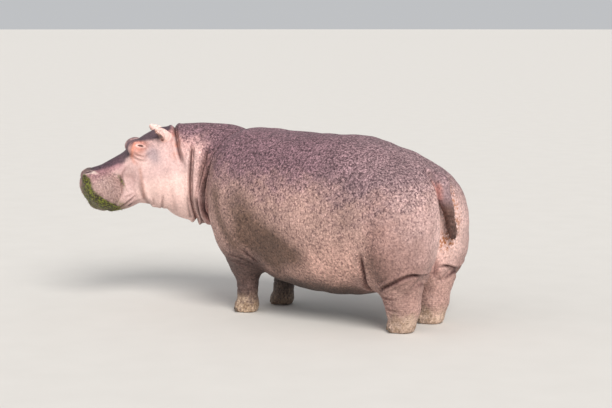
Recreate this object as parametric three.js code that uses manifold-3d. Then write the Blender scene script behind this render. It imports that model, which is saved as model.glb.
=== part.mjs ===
// A standing common hippopotamus (Hippopotamus amphibius), life size, in millimetres.
// The animal faces -X and carries its head turned to its left (-Y). +Z is up, and the soles stand on z = 0.
import * as THREE from 'three';
import { mergeVertices } from 'three/addons/utils/BufferGeometryUtils.js';
import Module from 'manifold-3d';

const wasm = await Module();
wasm.setup();

// ---- Driving dimensions ----------------------------------------------------------------------------
const GAP = 0.35;
const BODY_OFFSET = [69, 126, 0];
const HEAD_YAW = 45;
const HEAD_PITCH = 16;
const HEAD_ORIGIN = [-1050, -300, 1296];
const FRONT_FEET = { left: [-260, -200], right: [-195, 200] };
const HIND_FEET = { left: [1130, -205], right: [1150, 205] };
const FRONT_SOLE = 90;
const HIND_SOLE = 104;
const EYE_RADIUS = 21;
const EYE_SEAT = [160, 170, 22];
const EYE_LOOK = [-0.18, 0.84, 0.51];
const EYE_SLANT = 20;
const NOSTRIL = [600, 121, -60];
const EAR_ROOT = [-66, 146, 26];
const EAR_SIZE = [41, 34, 62];
const EAR_PEAK = 0.6;
const EAR_HOOK = 0.4;
const EAR_LEAN = [28, 25];
const EAR_TURN = 14;
const TAIL_PATH = [[1205, 0, 1140], [1318, -14, 1096], [1360, -34, 1000], [1384, 8, 876], [1396, 52, 700]];
const TAIL_RADII = [60, 64, 60, 40, 37];
const TAIL_TIP = 0.7;
const NAIL_SIZE = [13, 17, 19];
const TOE_ANGLES = [-62, -21, 21, 62];
const NECK_CUT = -575;
const NAPE_CUT = -120;
const FRONT_LEG_TOP = 420;
const HIND_LEG_TOP = 400;
const LEG_INNER = 55;
const LEG_AHEAD = 190;

// Trunk sections from the chest to the rump: place along X, back line, belly line, half width.
const TRUNK = [
  [-640, 1420, 560, 435],
  [-480, 1425, 470, 475],
  [-250, 1425, 365, 505],
  [50, 1408, 250, 542],
  [350, 1400, 203, 565],
  [650, 1396, 203, 565],
  [950, 1322, 270, 540],
  [1200, 1238, 330, 520],
  [1380, 1215, 400, 505],
];
const TRUNK_ROUND = 2.25;
const END_ROUND = 2.5;
const RUMP_START = 950;
const RUMP_END = 1398;
const CHEST_START = -290;
const CHEST_END = -640;

// Colour and roughness of each kind of piece, found by the start of its name.
const LOOKS = {
  trunk: [0xa78784, 0.62],
  neck: [0xbd9490, 0.62],
  head: [0xc09b92, 0.6],
  leg_front: [0x94776b, 0.68],
  leg_hind: [0xb3928b, 0.66],
  tail: [0x94695e, 0.7],
  ear: [0xd9ada4, 0.6],
  eye: [0x20140f, 0.12],
  nail: [0x6d5c50, 0.5],
};

// ---- Small vector and field helpers ----------------------------------------------------------------
const radians = (degrees) => (degrees * Math.PI) / 180;
const mix = (a, b, t) => a + (b - a) * t;
const clamp = (v, lo, hi) => Math.min(Math.max(v, lo), hi);

// Union of two fields with a fillet of about k.
function join(a, b, k) {
  const h = Math.max(k - Math.abs(a - b), 0) / k;
  return Math.min(a, b) - (h * h * k) / 4;
}

// First field with the second taken away, the edge rounded by about k.
const carve = (a, b, k) => -join(-a, b, k);

// Ellipsoid field with a true scale near its surface.
function ellipsoid(p, c, r) {
  const x = (p[0] - c[0]) / r[0];
  const y = (p[1] - c[1]) / r[1];
  const z = (p[2] - c[2]) / r[2];
  const k0 = Math.hypot(x, y, z);
  const k1 = Math.hypot(x / r[0], y / r[1], z / r[2]);
  return k1 < 1e-9 ? -Math.min(...r) : (k0 * (k0 - 1)) / k1;
}

// Ellipsoid turned about the vertical by an angle in degrees.
function turnedEllipsoid(p, c, r, yaw) {
  const s = Math.sin(radians(yaw));
  const k = Math.cos(radians(yaw));
  const x = p[0] - c[0];
  const y = p[1] - c[1];
  return ellipsoid([x * k + y * s, y * k - x * s, p[2] - c[2]], [0, 0, 0], r);
}

// Ellipsoid in the head frame whose long axis w leans back by an angle in degrees.
function turnedDown(h, c, r, lean) {
  const s = Math.sin(radians(lean));
  const k = Math.cos(radians(lean));
  const u = h[0] - c[0];
  const w = h[2] - c[2];
  return ellipsoid([u * k - w * s, h[1] - c[1], w * k + u * s], [0, 0, 0], r);
}

// Round limb from a to b whose radius runs from ra to rb.
function limb(p, a, b, ra, rb) {
  const d = [b[0] - a[0], b[1] - a[1], b[2] - a[2]];
  const q = [p[0] - a[0], p[1] - a[1], p[2] - a[2]];
  const t = clamp((q[0] * d[0] + q[1] * d[1] + q[2] * d[2]) / (d[0] ** 2 + d[1] ** 2 + d[2] ** 2), 0, 1);
  return Math.hypot(q[0] - d[0] * t, q[1] - d[1] * t, q[2] - d[2] * t) - mix(ra, rb, t);
}

// Smooth reading of a table of sections at x (a Catmull-Rom curve through the rows).
function sectionAt(rows, x) {
  const last = rows.length - 1;
  const u = clamp(x, rows[0][0], rows[last][0]);
  let i = 0;
  while (i < last - 1 && rows[i + 1][0] < u) i += 1;
  const a = rows[Math.max(i - 1, 0)];
  const b = rows[i];
  const c = rows[i + 1];
  const d = rows[Math.min(i + 2, last)];
  const span = c[0] - b[0];
  const t = (u - b[0]) / span;
  return [1, 2, 3].map((j) => {
    const slopeB = ((c[j] - a[j]) / (c[0] - a[0])) * span;
    const slopeC = ((d[j] - b[j]) / (d[0] - b[0])) * span;
    const h = 2 * t ** 3 - 3 * t ** 2;
    return (h + 1) * b[j] - h * c[j] + (t ** 3 - 2 * t ** 2 + t) * slopeB + (t ** 3 - t ** 2) * slopeC;
  });
}

// ---- The body as one field -------------------------------------------------------------------------
// Barrel of the trunk, closed by a half ellipsoid at the rump and at the chest.
function barrel(p) {
  const [top, bottom, half] = sectionAt(TRUNK, p[0]);
  const mid = (top + bottom) / 2;
  const rise = (top - bottom) / 2;
  const n = TRUNK_ROUND;
  const v = (Math.abs(p[1] / half) ** n + Math.abs((p[2] - mid) / rise) ** n) ** (1 / n);
  const behind = Math.max(p[0] - RUMP_START, 0);
  const ahead = Math.max(CHEST_START - p[0], 0);
  const t = behind / (RUMP_END - RUMP_START) + ahead / (CHEST_START - CHEST_END);
  const m = behind > 0 ? END_ROUND : 2;
  const w = (v ** m + t ** m) ** (1 / m);
  return Math.hypot(p[1], p[2] - mid, behind + ahead) * (1 - 1 / Math.max(w, 1e-6));
}

// Trunk with shoulder and haunch masses, and the cleft the tail hangs in.
function trunkField(p) {
  const side = [p[0], Math.abs(p[1]), p[2]];
  let d = barrel(p);
  d = join(d, ellipsoid(side, [-240, 270, 770], [230, 235, 400]), 120);
  d = join(d, ellipsoid(side, [1100, 262, 700], [282, 258, 420]), 140);
  return carve(d, limb(p, [1395, 0, 1000], [1375, 0, 440], 80, 100), 110);
}

// Neck: three thick rings that follow the bend from the shoulders to the nape.
function neckField(p) {
  let d = turnedEllipsoid(p, [-580, -5, 1030], [340, 335, 410], 4);
  d = join(d, turnedEllipsoid(p, [-790, -75, 1050], [240, 305, 390], 22), 120);
  d = join(d, turnedEllipsoid(p, [-920, -180, 1070], [210, 285, 362], 40), 120);
  return d;
}

// Head frame: u forward along the muzzle, v to the animal's left, w up.
const YAW = radians(HEAD_YAW);
const PITCH = radians(HEAD_PITCH);
const HEAD_U = [-Math.cos(YAW) * Math.cos(PITCH), -Math.sin(YAW) * Math.cos(PITCH), -Math.sin(PITCH)];
const HEAD_V = [Math.sin(YAW), -Math.cos(YAW), 0];
const HEAD_W = [-Math.cos(YAW) * Math.sin(PITCH), -Math.sin(YAW) * Math.sin(PITCH), Math.cos(PITCH)];
const dot = (a, b) => a[0] * b[0] + a[1] * b[1] + a[2] * b[2];

function toHead(p) {
  const q = [p[0] - HEAD_ORIGIN[0], p[1] - HEAD_ORIGIN[1], p[2] - HEAD_ORIGIN[2]];
  return [dot(q, HEAD_U), dot(q, HEAD_V), dot(q, HEAD_W)];
}

// Head in its own frame; both sides are alike.
function headLocal(h) {
  const side = [h[0], Math.abs(h[1]), h[2]];
  let d = ellipsoid(h, [70, 0, -95], [215, 180, 178]);
  d = join(d, ellipsoid(h, [-35, 0, -14], [140, 122, 122]), 60);
  d = join(d, ellipsoid(side, [80, 115, -270], [210, 135, 230]), 90);
  d = join(d, limb(h, [200, 0, -110], [560, 0, -160], 128, 104), 60);
  d = join(d, ellipsoid(h, [370, 0, -310], [290, 160, 112]), 70);
  d = join(d, turnedDown(h, [562, 0, -192], [124, 194, 140], 28), 60);
  d = join(d, turnedDown(side, [512, 118, -235], [122, 102, 150], 34), 50);
  d = join(d, ellipsoid(h, [410, 0, -345], [140, 150, 68]), 50);
  d = join(d, ellipsoid(side, [594, 104, -90], [64, 48, 40]), 40);
  d = join(d, ellipsoid(side, [180, 134, 20], [78, 62, 62]), 45);
  return d;
}

const headField = (p) => headLocal(toHead(p));

// Legs. Each is written for the right side; the left one is read with y turned over.
const toeAt = (reach, angle) => [-Math.cos(radians(angle)) * reach, Math.sin(radians(angle)) * reach];

// Four blunt toes in an arc at the front of a foot.
function toesField(q, reach, d) {
  let out = d;
  for (const angle of TOE_ANGLES) {
    const [x, y] = toeAt(reach, angle);
    out = join(out, ellipsoid(q, [x, y, 42], [37, 35, 50]), 16);
  }
  return out;
}

function frontLegField(p, [x, y]) {
  const side = Math.sign(y);
  const q = [p[0] - x, (p[1] - y) * side, p[2]];
  let d = limb(q, [35, 85, 600], [15, 25, 400], 170, 132);
  d = join(d, limb(q, [15, 25, 400], [10, 8, 190], 128, 72), 50);
  d = join(d, limb(q, [10, 8, 190], [2, 0, 60], 72, FRONT_SOLE), 40);
  return toesField(q, FRONT_SOLE - 22, d);
}

function hindLegField(p, [x, y]) {
  const side = Math.sign(y);
  const q = [p[0] - x, (p[1] - y) * side, p[2]];
  let d = limb(q, [0, 55, 560], [-10, 15, 350], 220, 152);
  d = join(d, limb(q, [-10, 15, 350], [5, 5, 190], 148, 122), 60);
  d = join(d, limb(q, [5, 5, 190], [-4, 0, 65], 114, HIND_SOLE), 50);
  return toesField(q, HIND_SOLE - 22, d);
}

function bodyField(p) {
  let d = trunkField(p);
  d = join(d, neckField(p), 45);
  d = join(d, headField(p), 60);
  for (const foot of Object.values(FRONT_FEET)) d = join(d, frontLegField(p, foot), 60);
  for (const foot of Object.values(HIND_FEET)) d = join(d, hindLegField(p, foot), 70);
  return d;
}

// ---- From a field to a closed mesh -----------------------------------------------------------------
// Grid lines from lo to hi whose step may change at given places: [[until, step], ...].
function gridLines(lo, pieces) {
  const lines = [lo];
  for (const [until, step] of pieces) {
    const from = lines[lines.length - 1];
    const count = Math.max(1, Math.round((until - from) / step));
    for (let i = 1; i <= count; i += 1) lines.push(mix(from, until, i / count));
  }
  return lines;
}

// One vertex in each cell the surface crosses, moved onto the surface along the field's slope.
function surfaceOf(field, xs, ys, zs) {
  const size = [xs.length, ys.length, zs.length];
  const at = (i, j, k) => (i * size[1] + j) * size[2] + k;
  const values = new Float64Array(size[0] * size[1] * size[2]);
  for (let i = 0; i < size[0]; i += 1) {
    for (let j = 0; j < size[1]; j += 1) {
      for (let k = 0; k < size[2]; k += 1) {
        const rim = i * j * k === 0 || i === size[0] - 1 || j === size[1] - 1 || k === size[2] - 1;
        values[at(i, j, k)] = rim ? 1 : field([xs[i], ys[j], zs[k]]);
      }
    }
  }
  const positions = [];
  const cellVertex = new Int32Array(values.length).fill(-1);
  const edges = [[0, 1], [0, 2], [0, 4], [1, 3], [1, 5], [2, 3], [2, 6], [3, 7], [4, 5], [4, 6], [5, 7], [6, 7]];
  for (let i = 0; i < size[0] - 1; i += 1) {
    for (let j = 0; j < size[1] - 1; j += 1) {
      for (let k = 0; k < size[2] - 1; k += 1) {
        const corner = [];
        for (let c = 0; c < 8; c += 1) {
          corner.push([i + ((c >> 2) & 1), j + ((c >> 1) & 1), k + (c & 1)]);
        }
        const value = corner.map((c) => values[at(...c)]);
        const sum = [0, 0, 0];
        let crossings = 0;
        for (const [a, b] of edges) {
          if (value[a] < 0 === value[b] < 0) continue;
          const t = value[a] / (value[a] - value[b]);
          sum[0] += mix(xs[corner[a][0]], xs[corner[b][0]], t);
          sum[1] += mix(ys[corner[a][1]], ys[corner[b][1]], t);
          sum[2] += mix(zs[corner[a][2]], zs[corner[b][2]], t);
          crossings += 1;
        }
        if (crossings === 0) continue;
        cellVertex[at(i, j, k)] = positions.length;
        positions.push(settle(field, sum.map((s) => s / crossings)));
      }
    }
  }
  const faces = [];
  const quad = (inside, a, b, c, d) => {
    const loop = inside ? [a, b, c, d] : [d, c, b, a];
    const p = loop.map((v) => new THREE.Vector3(...positions[v]));
    const short = p[0].distanceTo(p[2]) <= p[1].distanceTo(p[3]);
    const order = short ? [0, 1, 2, 0, 2, 3] : [1, 2, 3, 1, 3, 0];
    faces.push(...order.map((n) => loop[n]));
  };
  for (let i = 0; i < size[0] - 1; i += 1) {
    for (let j = 0; j < size[1] - 1; j += 1) {
      for (let k = 0; k < size[2] - 1; k += 1) {
        const here = values[at(i, j, k)] < 0;
        const cell = (di, dj, dk) => cellVertex[at(i - di, j - dj, k - dk)];
        if (j * k > 0 && here !== values[at(i + 1, j, k)] < 0) {
          quad(here, cell(0, 1, 1), cell(0, 0, 1), cell(0, 0, 0), cell(0, 1, 0));
        }
        if (i * k > 0 && here !== values[at(i, j + 1, k)] < 0) {
          quad(here, cell(1, 0, 1), cell(1, 0, 0), cell(0, 0, 0), cell(0, 0, 1));
        }
        if (i * j > 0 && here !== values[at(i, j, k + 1)] < 0) {
          quad(here, cell(1, 1, 0), cell(0, 1, 0), cell(0, 0, 0), cell(1, 0, 0));
        }
      }
    }
  }
  return { positions, faces };
}

// Moves a point onto the zero surface of a field.
function settle(field, start) {
  const p = [...start];
  const e = 1;
  for (let turn = 0; turn < 4; turn += 1) {
    const d = field(p);
    const g = [0, 1, 2].map((axis) => {
      const q = [...p];
      q[axis] += e;
      return (field(q) - d) / e;
    });
    const slope = dot(g, g);
    if (slope < 0.05) break;
    const move = clamp(d / slope, -15, 15);
    for (let axis = 0; axis < 3; axis += 1) p[axis] -= g[axis] * move;
  }
  return p;
}

// ---- Solids ----------------------------------------------------------------------------------------
function solidFrom(positions, faces) {
  return new wasm.Manifold(new wasm.Mesh({
    numProp: 3,
    vertProperties: new Float32Array(positions.flat()),
    triVerts: new Uint32Array(faces),
  }));
}

function solidOfGeometry(geometry, matrix = new THREE.Matrix4()) {
  const plain = geometry.clone().applyMatrix4(matrix);
  plain.deleteAttribute('normal');
  plain.deleteAttribute('uv');
  const merged = mergeVertices(plain, 1e-3);
  return new wasm.Manifold(new wasm.Mesh({
    numProp: 3,
    vertProperties: new Float32Array(merged.attributes.position.array),
    triVerts: new Uint32Array(merged.index.array),
  }));
}

// The field's solid sampled on a grid whose frame is given by a matrix.
function solidOfField(field, matrix, xs, ys, zs) {
  const v = new THREE.Vector3();
  const local = (p) => {
    v.set(...p).applyMatrix4(matrix);
    return field([v.x, v.y, v.z]);
  };
  const { positions, faces } = surfaceOf(local, xs, ys, zs);
  const placed = positions.map((p) => v.set(...p).applyMatrix4(matrix).toArray());
  return solidFrom(placed, faces);
}

// A box given by its two corners, placed by a matrix.
function block(lo, hi, matrix = new THREE.Matrix4()) {
  const size = hi.map((h, i) => h - lo[i]);
  const middle = hi.map((h, i) => (h + lo[i]) / 2);
  const at = new THREE.Matrix4().makeTranslation(...middle);
  return solidOfGeometry(new THREE.BoxGeometry(...size), matrix.clone().multiply(at));
}

const HEAD_MATRIX = new THREE.Matrix4().makeBasis(
  new THREE.Vector3(...HEAD_U),
  new THREE.Vector3(...HEAD_V),
  new THREE.Vector3(...HEAD_W),
).setPosition(...HEAD_ORIGIN);
const WORLD = new THREE.Matrix4();

// Vertical frame at a place in plan, turned about Z: its x axis runs back along the body.
function uprightFrame([x, y], yaw) {
  const turn = new THREE.Matrix4().makeRotationZ(radians(yaw));
  return new THREE.Matrix4().makeTranslation(x, y, 0).multiply(turn);
}

// ---- Flesh, parted by thin cuts --------------------------------------------------------------------
const neckSide = (lo, hi) => block([lo, -900, -900], [hi, 900, 2400]);
const headSide = (lo, hi) => block([lo, -700, -1200], [hi, 700, 700], HEAD_MATRIX);

const headRough = solidOfField(
  bodyField,
  HEAD_MATRIX,
  gridLines(NAPE_CUT - 90, [[780, 44]]),
  gridLines(-351, [[351, 43]]),
  gridLines(-760, [[-480, 70], [170, 42]]),
);
const neckRough = solidOfField(
  bodyField,
  uprightFrame([-800, -80], 22),
  gridLines(-520, [[520, 78]]),
  gridLines(-480, [[480, 74]]),
  gridLines(420, [[1600, 78]]),
);
const trunkRough = solidOfField(
  bodyField,
  WORLD,
  gridLines(-770, [[1560, 114]]),
  gridLines(-708, [[708, 98]]),
  gridLines(90, [[1560, 98]]),
);

function legRough([x, y], top) {
  return solidOfField(
    bodyField,
    WORLD,
    gridLines(x - 300, [[x - 140, 70], [x - 10, 33], [x + 350, 60]]),
    gridLines(y - 300, [[y - 120, 70], [y + 120, 40], [y + 300, 70]]),
    gridLines(-60, [[140, 40], [top + 90, 92]]),
  );
}

// The space a leg is cut from, clear of the belly on its inner side and in front.
function legSpace([x, y], top, shrink) {
  const inner = LEG_INNER + shrink;
  const outer = Math.abs(y) + 330;
  const [lo, hi] = y < 0 ? [-outer, -inner] : [inner, outer];
  return block([x - LEG_AHEAD + shrink, lo, -200], [x + 300 - shrink, hi, top - shrink]);
}
const aboveFloor = block([-3000, -3000, 0], [3000, 3000, 3000]);

const legs = {
  leg_front_left: [FRONT_FEET.left, FRONT_LEG_TOP],
  leg_front_right: [FRONT_FEET.right, FRONT_LEG_TOP],
  leg_hind_left: [HIND_FEET.left, HIND_LEG_TOP],
  leg_hind_right: [HIND_FEET.right, HIND_LEG_TOP],
};

const solids = {};
let trunk = trunkRough.subtract(neckSide(-3000, NECK_CUT + GAP / 2));
for (const [name, [place, top]] of Object.entries(legs)) {
  solids[name] = legRough(place, top).intersect(legSpace(place, top, GAP / 2)).intersect(aboveFloor);
  trunk = trunk.subtract(legSpace(place, top, -GAP / 2));
}
solids.trunk = trunk;
const ahead = neckSide(-3000, NECK_CUT - GAP / 2);
solids.neck = neckRough.intersect(ahead).subtract(headSide(NAPE_CUT - GAP / 2, 3000));
solids.head = headRough.intersect(headSide(NAPE_CUT + GAP / 2, 3000)).intersect(ahead);

// ---- Eyes, ears, tail and nails --------------------------------------------------------------------
// A sphere stretched to three radii, placed by a matrix.
function egg([rx, ry, rz], matrix, around = 16, over = 10) {
  const stretch = new THREE.Matrix4().makeScale(rx, ry, rz);
  return solidOfGeometry(new THREE.SphereGeometry(1, around, over), matrix.clone().multiply(stretch));
}

// An egg whose upper part is drawn out to a point that leans forward.
function earLeaf([rx, ry, rz], matrix) {
  const shape = new THREE.SphereGeometry(1, 12, 8);
  const at = shape.attributes.position;
  for (let i = 0; i < at.count; i += 1) {
    const rise = Math.max(at.getZ(i), 0) ** 2;
    at.setX(i, at.getX(i) + EAR_HOOK * rise);
    at.setZ(i, at.getZ(i) + EAR_PEAK * rise);
  }
  const stretch = new THREE.Matrix4().makeScale(rx, ry, rz);
  return solidOfGeometry(shape, matrix.clone().multiply(stretch));
}

// Frame at a point of the head, leaned out and forward by angles in degrees.
function onHead([u, v, w], out = 0, forward = 0) {
  const at = new THREE.Matrix4().makeTranslation(u, v, w);
  const lean = new THREE.Matrix4().makeRotationX(radians(-out));
  const tip = new THREE.Matrix4().makeRotationY(radians(forward));
  return HEAD_MATRIX.clone().multiply(at).multiply(lean).multiply(tip);
}

for (const [name, side] of [['left', 1], ['right', -1]]) {
  const [nu, nv, nw] = NOSTRIL;
  const turn = new THREE.Matrix4().makeRotationZ(radians(-28 * side));
  const slit = onHead([nu, nv * side, nw], 0, 35).multiply(turn);
  solids.head = solids.head.subtract(egg([27, 11, 26], slit, 8, 6));

  const [u, v, w] = EYE_SEAT;
  const [lu, lv, lw] = EYE_LOOK.map((x) => x * EYE_RADIUS);
  const seat = onHead([u, v * side, w]);
  const opening = onHead([u + lu, (v + lv) * side, w + lw], 0, -EYE_SLANT);
  const socket = EYE_RADIUS + GAP;
  solids[`eye_${name}`] = egg([EYE_RADIUS, EYE_RADIUS, EYE_RADIUS], seat, 12, 7);
  solids.head = solids.head.subtract(egg([socket, socket, socket], seat, 12, 7));
  solids.head = solids.head.subtract(egg([19, 22, 10], opening, 8, 6));

  const [a, b, c] = EAR_ROOT;
  const [out, forward] = EAR_LEAN;
  const twist = new THREE.Matrix4().makeRotationZ(radians(EAR_TURN * side));
  const ear = onHead([a, b * side, c], out * side, forward).multiply(twist);
  const lift = new THREE.Matrix4().makeTranslation(0, 0, 44);
  const cup = new THREE.Matrix4().makeTranslation(30, 3 * side, 62);
  const leaf = earLeaf(EAR_SIZE, ear.clone().multiply(lift));
  const hollow = egg([30, 24, 49], ear.clone().multiply(cup), 10, 6);
  const up = HEAD_W.map((x) => x * GAP);
  solids[`ear_${name}`] = leaf.subtract(hollow).subtract(solids.head).translate(up);
}

// Tail: oval sections along its path, ever flatter from side to side towards the tip.
function tailSolid() {
  const curve = new THREE.CatmullRomCurve3(TAIL_PATH.map((p) => new THREE.Vector3(...p)));
  const rings = 9;
  const around = 12;
  const positions = [];
  const faces = [];
  for (let i = 0; i <= rings; i += 1) {
    const t = i / rings;
    const c = curve.getPoint(t);
    const along = curve.getTangent(t);
    const wide = new THREE.Vector3(0, 1, 0).cross(along).normalize();
    const flat = along.clone().cross(wide);
    const u = t * (TAIL_RADII.length - 1);
    const k = Math.min(Math.floor(u), TAIL_RADII.length - 2);
    const r = mix(TAIL_RADII[k], TAIL_RADII[k + 1], u - k) * (i === rings ? TAIL_TIP : 1);
    for (let j = 0; j < around; j += 1) {
      const a = (2 * Math.PI * j) / around;
      const q = c.clone().addScaledVector(wide, r * Math.cos(a));
      positions.push(q.addScaledVector(flat, r * Math.sin(a) * mix(0.95, 0.6, t)).toArray());
    }
  }
  for (let i = 0; i < rings; i += 1) {
    for (let j = 0; j < around; j += 1) {
      const a = i * around + j;
      const b = i * around + ((j + 1) % around);
      faces.push(a, b, b + around, a, b + around, a + around);
    }
  }
  for (let j = 1; j < around - 1; j += 1) {
    faces.push(0, j + 1, j);
    const e = rings * around;
    faces.push(e, e + j, e + j + 1);
  }
  return solidFrom(positions, faces);
}
solids.tail = tailSolid().subtract(solids.trunk).translate([GAP, 0, 0]);

// Nails: half an egg, flat at the back, on a flat cut into the front of each toe.
const NAIL_NAMES = ['inner', 'front_inner', 'front_outer', 'outer'];
for (const [leg, [[x, y]]] of Object.entries(legs)) {
  const reach = (leg.includes('front') ? FRONT_SOLE : HIND_SOLE) + 8;
  TOE_ANGLES.forEach((angle, i) => {
    const [dx, dy] = toeAt(reach, angle);
    const turn = Math.atan2(dy * Math.sign(y), dx);
    const at = new THREE.Matrix4().makeTranslation(x + dx, y + dy * Math.sign(y), 34);
    const frame = at.multiply(new THREE.Matrix4().makeRotationZ(turn));
    const front = (from) => block([from, -28, -26], [60, 28, 34], frame);
    const name = `${leg.replace('leg', 'nail')}_${NAIL_NAMES[i]}`;
    solids[name] = egg(NAIL_SIZE, frame, 8, 4).intersect(front(0));
    solids[leg] = solids[leg].subtract(front(-GAP));
  });
}

const hippopotamus = new THREE.Group();
for (const [name, solid] of Object.entries(solids)) {
  const mesh = solid.getMesh();
  const geometry = new THREE.BufferGeometry();
  geometry.setAttribute('position', new THREE.BufferAttribute(new Float32Array(mesh.vertProperties), 3));
  geometry.setIndex(new THREE.BufferAttribute(new Uint32Array(mesh.triVerts), 1));
  const [, [color, roughness]] = Object.entries(LOOKS).find(([start]) => name.startsWith(start));
  const look = new THREE.MeshStandardMaterial({ color, roughness, metalness: 0 });
  const piece = new THREE.Mesh(geometry, look);
  piece.name = name;
  hippopotamus.add(piece);
}

// The origin lies on the floor under the middle of the animal's bounding box.
hippopotamus.position.set(...BODY_OFFSET);

export default hippopotamus;
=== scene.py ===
import math

import bpy
import numpy as np
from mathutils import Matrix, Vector


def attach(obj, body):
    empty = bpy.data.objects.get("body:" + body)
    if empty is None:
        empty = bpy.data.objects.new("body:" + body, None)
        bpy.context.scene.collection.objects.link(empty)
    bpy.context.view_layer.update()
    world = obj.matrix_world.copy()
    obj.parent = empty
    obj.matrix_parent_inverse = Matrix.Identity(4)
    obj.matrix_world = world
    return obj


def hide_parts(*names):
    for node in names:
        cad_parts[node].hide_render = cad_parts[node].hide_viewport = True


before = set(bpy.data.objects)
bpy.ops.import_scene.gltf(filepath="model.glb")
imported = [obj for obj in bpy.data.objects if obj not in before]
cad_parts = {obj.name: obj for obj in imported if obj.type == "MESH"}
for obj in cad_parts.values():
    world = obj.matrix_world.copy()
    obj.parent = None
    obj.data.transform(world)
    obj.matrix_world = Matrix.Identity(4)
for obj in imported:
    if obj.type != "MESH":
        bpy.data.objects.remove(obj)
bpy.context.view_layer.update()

scene = bpy.context.scene

# The body is worked out in millimetres in its own frame: it faces -X, its left is -Y and the floor is z = 0.
# BODY_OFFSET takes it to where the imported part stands, when the meshes are made.
BODY_OFFSET = np.array([69.0, 126.0, 0.0])
HEAD_YAW = 45
HEAD_PITCH = 16
HEAD_ORIGIN = np.array([-1050.0, -300.0, 1296.0])
TOE_ANGLES = (-62, -21, 21, 62)
TOE_INSET = 22
TOE_SIZE = (37, 35, 50)
TOE_HEIGHT = 42
EYE_RADIUS = 21
EYE_SEAT = np.array([160.0, 170.0, 22.0])
EYE_LOOK = np.array([-0.18, 0.84, 0.51])
EYE_SLANT = 20
EYE_SLIT = (18.5, 6, 17)
LID_FRONT = 4.5
NOSTRIL = np.array([600.0, 121.0, -60.0])
NOSTRIL_HOLE = (19, 7, 24)
EAR_ROOT = np.array([-66.0, 146.0, 26.0])
EAR_SIZE = (41, 34, 62)
EAR_PEAK = 0.6
EAR_HOOK = 0.4
EAR_OUT = 28
EAR_FORWARD = 25
EAR_TURN = 14
EAR_LIFT = 44
TAIL_PATH = ((1205, 0, 1140), (1318, -14, 1096), (1360, -34, 1000), (1384, 8, 876), (1396, 52, 700))
TAIL_RADII = (60, 64, 60, 40, 37)
TAIL_TIP = 0.7

# Trunk sections from the chest to the rump: place along X, back line, belly line, half width
TRUNK = 1.0 * np.array((
    (-640, 1420, 560, 435), (-480, 1425, 470, 475), (-250, 1425, 365, 505),
    (50, 1408, 250, 542), (350, 1400, 203, 565), (650, 1396, 203, 565),
    (950, 1322, 270, 540), (1200, 1238, 330, 520), (1380, 1215, 400, 505),
))

# Legs: where the feet stand, the radius of the sole, the fillet with the body, then the stretches from the top down,
# each with its ends as forward, outward and up from the foot, its two radii and its fillet with what is above
LEGS = {
    "front": (
        {"left": (-260, -200), "right": (-195, 200)}, 90, 60,
        ((35, 85, 600), (15, 25, 400), 170, 132, 1),
        ((15, 25, 400), (10, 8, 190), 128, 72, 50),
        ((10, 8, 190), (2, 0, 60), 72, 90, 40),
    ),
    "hind": (
        {"left": (1130, -205), "right": (1150, 205)}, 104, 70,
        ((0, 55, 560), (-10, 15, 350), 220, 152, 1),
        ((-10, 15, 350), (5, 5, 190), 148, 122, 60),
        ((5, 5, 190), (-4, 0, 65), 114, 104, 50),
    ),
}

# The skin's mesh: its first grid, its longest edge, and how much too long an edge is when it splits
GRID_LOW = (-1600, -850, -40)
GRID_HIGH = (1500, 620, 1500)
GRID_CELL = 20.0
COARSE = 26.0
SPLIT_OVER = 1.45
SPLIT_ROUNDS = 5
SOLE_GAP = 0.4
FAR = 1e9


# ---- Small helpers
def clamp(x):
    return np.clip(x, 0, 1)


def step(lo, hi, x):
    """A smooth rise from 0 at lo to 1 at hi."""
    t = clamp((x - lo) / (hi - lo))
    return t * t * (3 - 2 * t)


def bell(x, width):
    return np.exp(-((x / width) ** 2))


def spot(a, b, width):
    return bell(np.hypot(a, b), width)


def mix(a, b, t):
    return a + (b - a) * t


def size_of(v, axis=-1):
    return np.linalg.norm(v, axis=axis)


def unit(v):
    return v / size_of(v)[..., None]


def cos_sin(degrees):
    return math.cos(math.radians(degrees)), math.sin(math.radians(degrees))


def hermite(b, c, slope_b, slope_c, t):
    h = 2 * t**3 - 3 * t**2
    return (h + 1) * b - h * c + (t**3 - 2 * t**2 + t) * slope_b + (t**3 - t**2) * slope_c


def columns(points):
    return points[:, 0], points[:, 1], points[:, 2]


def mirrored(p):
    return p[0], np.abs(p[1]), p[2]


def along_axes(p, origin, axes):
    x, y, z = turned(p, origin)
    return [x * a[0] + y * a[1] + z * a[2] for a in axes]


def join(a, b, k):
    """Union of two fields with a fillet of about k."""
    h = np.maximum(k - np.abs(a - b), 0) / k
    return np.minimum(a, b) - h * h * k / 4


def carve(a, b, k):
    return -join(-a, b, k)


def turned(p, origin, *turns):
    """Places seen from an origin, turned by each angle in the plane of two axes."""
    q = [p[i] - origin[i] for i in range(3)]
    for i, j, degrees in turns:
        k, s = cos_sin(degrees)
        q[i], q[j] = q[i] * k - q[j] * s, q[i] * s + q[j] * k
    return q


def ellipsoid(p, c, r, *turns):
    q = [x / size for x, size in zip(turned(p, c, *turns), r)]
    k0 = np.sqrt(q[0] ** 2 + q[1] ** 2 + q[2] ** 2)
    k1 = np.sqrt((q[0] / r[0]) ** 2 + (q[1] / r[1]) ** 2 + (q[2] / r[2]) ** 2)
    return k0 * (k0 - 1) / np.maximum(k1, 1e-9)


def limb(p, a, b, ra, rb):
    d, q = turned(b, a), turned(p, a)
    t = clamp((q[0] * d[0] + q[1] * d[1] + q[2] * d[2]) / sum(x * x for x in d))
    away = np.sqrt(sum((q[i] - d[i] * t) ** 2 for i in range(3)))
    return away - mix(ra, rb, t)


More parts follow.
